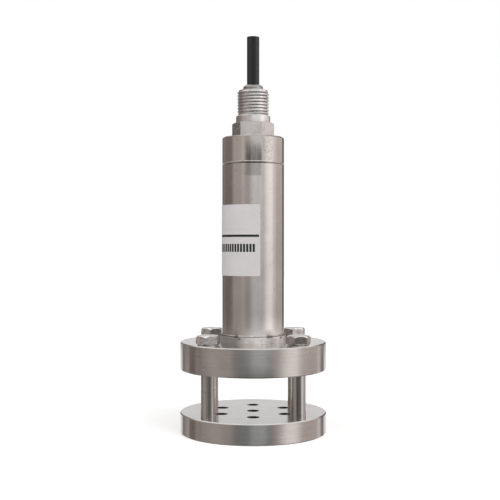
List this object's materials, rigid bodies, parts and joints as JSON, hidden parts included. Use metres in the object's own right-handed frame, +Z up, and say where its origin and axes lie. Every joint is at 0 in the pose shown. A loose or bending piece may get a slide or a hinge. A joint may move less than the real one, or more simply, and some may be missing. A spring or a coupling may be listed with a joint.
{
  "type": "submersible level transmitter",
  "caption": "Stainless liquid level transmitter: sensor flange over a perforated guard plate on tie bolts, tube housing and cable.",
  "frame": {"origin": "centre of the guard plate's bottom face", "axes": "+Z up along the tube, -Y towards the front of the label's right edge"},
  "size_m": [0.1, 0.1, 0.2711],
  "materials": {
    "turned_steel": "fine turned satin",
    "tube_steel": "satin, drawn lengthwise",
    "bolt_steel": "satin forged heads",
    "weld_steel": "rough weld",
    "fitting_steel": "machined satin",
    "inner_steel": "plain machined",
    "pin_brass": "gold-washed",
    "seal_rubber": "matt",
    "cable_sheath": "smooth satin sheath",
    "lead_sheath": "coloured insulation",
    "label_foil": "satin foil",
    "cradle_plastic": "moulded",
    "board_laminate": "solder mask",
    "chip_plastic": "moulded",
    "terminal_plastic": "moulded",
    "vent_plastic": "translucent tube"
  },
  "bodies": {
    "root": {"guard_plate": "turned_steel", "sensor_flange": "turned_steel", "tie_bolts": "bolt_steel", "body_tube": "tube_steel", "hub_weld": "weld_steel", "clamp_ring": "turned_steel", "clamp_screws": "bolt_steel", "diaphragm": "inner_steel", "diaphragm_seal": "seal_rubber", "sensor_capsule": "inner_steel", "capsule_seal": "seal_rubber", "capsule_ring": "inner_steel", "header_pins": "pin_brass", "board_cradle": "cradle_plastic", "circuit_board": "board_laminate", "board_components": "chip_plastic", "terminal_block": "terminal_plastic", "terminal_screws": "inner_steel", "sensor_wires": "lead_sheath", "vent_tube": "vent_plastic", "inner_leads": "lead_sheath", "top_cap": "tube_steel", "cap_seal": "seal_rubber", "conduit_fitting": "fitting_steel", "fitting_seal": "seal_rubber", "gland_washer": "inner_steel", "cable_grommet": "seal_rubber", "cable_ferrule": "fitting_steel", "label": "label_foil", "cable_tail": "cable_sheath", "cable_run": "cable_sheath", "cable_cores": "lead_sheath", "cable_vent": "vent_plastic"}
  },
  "joints": []
}
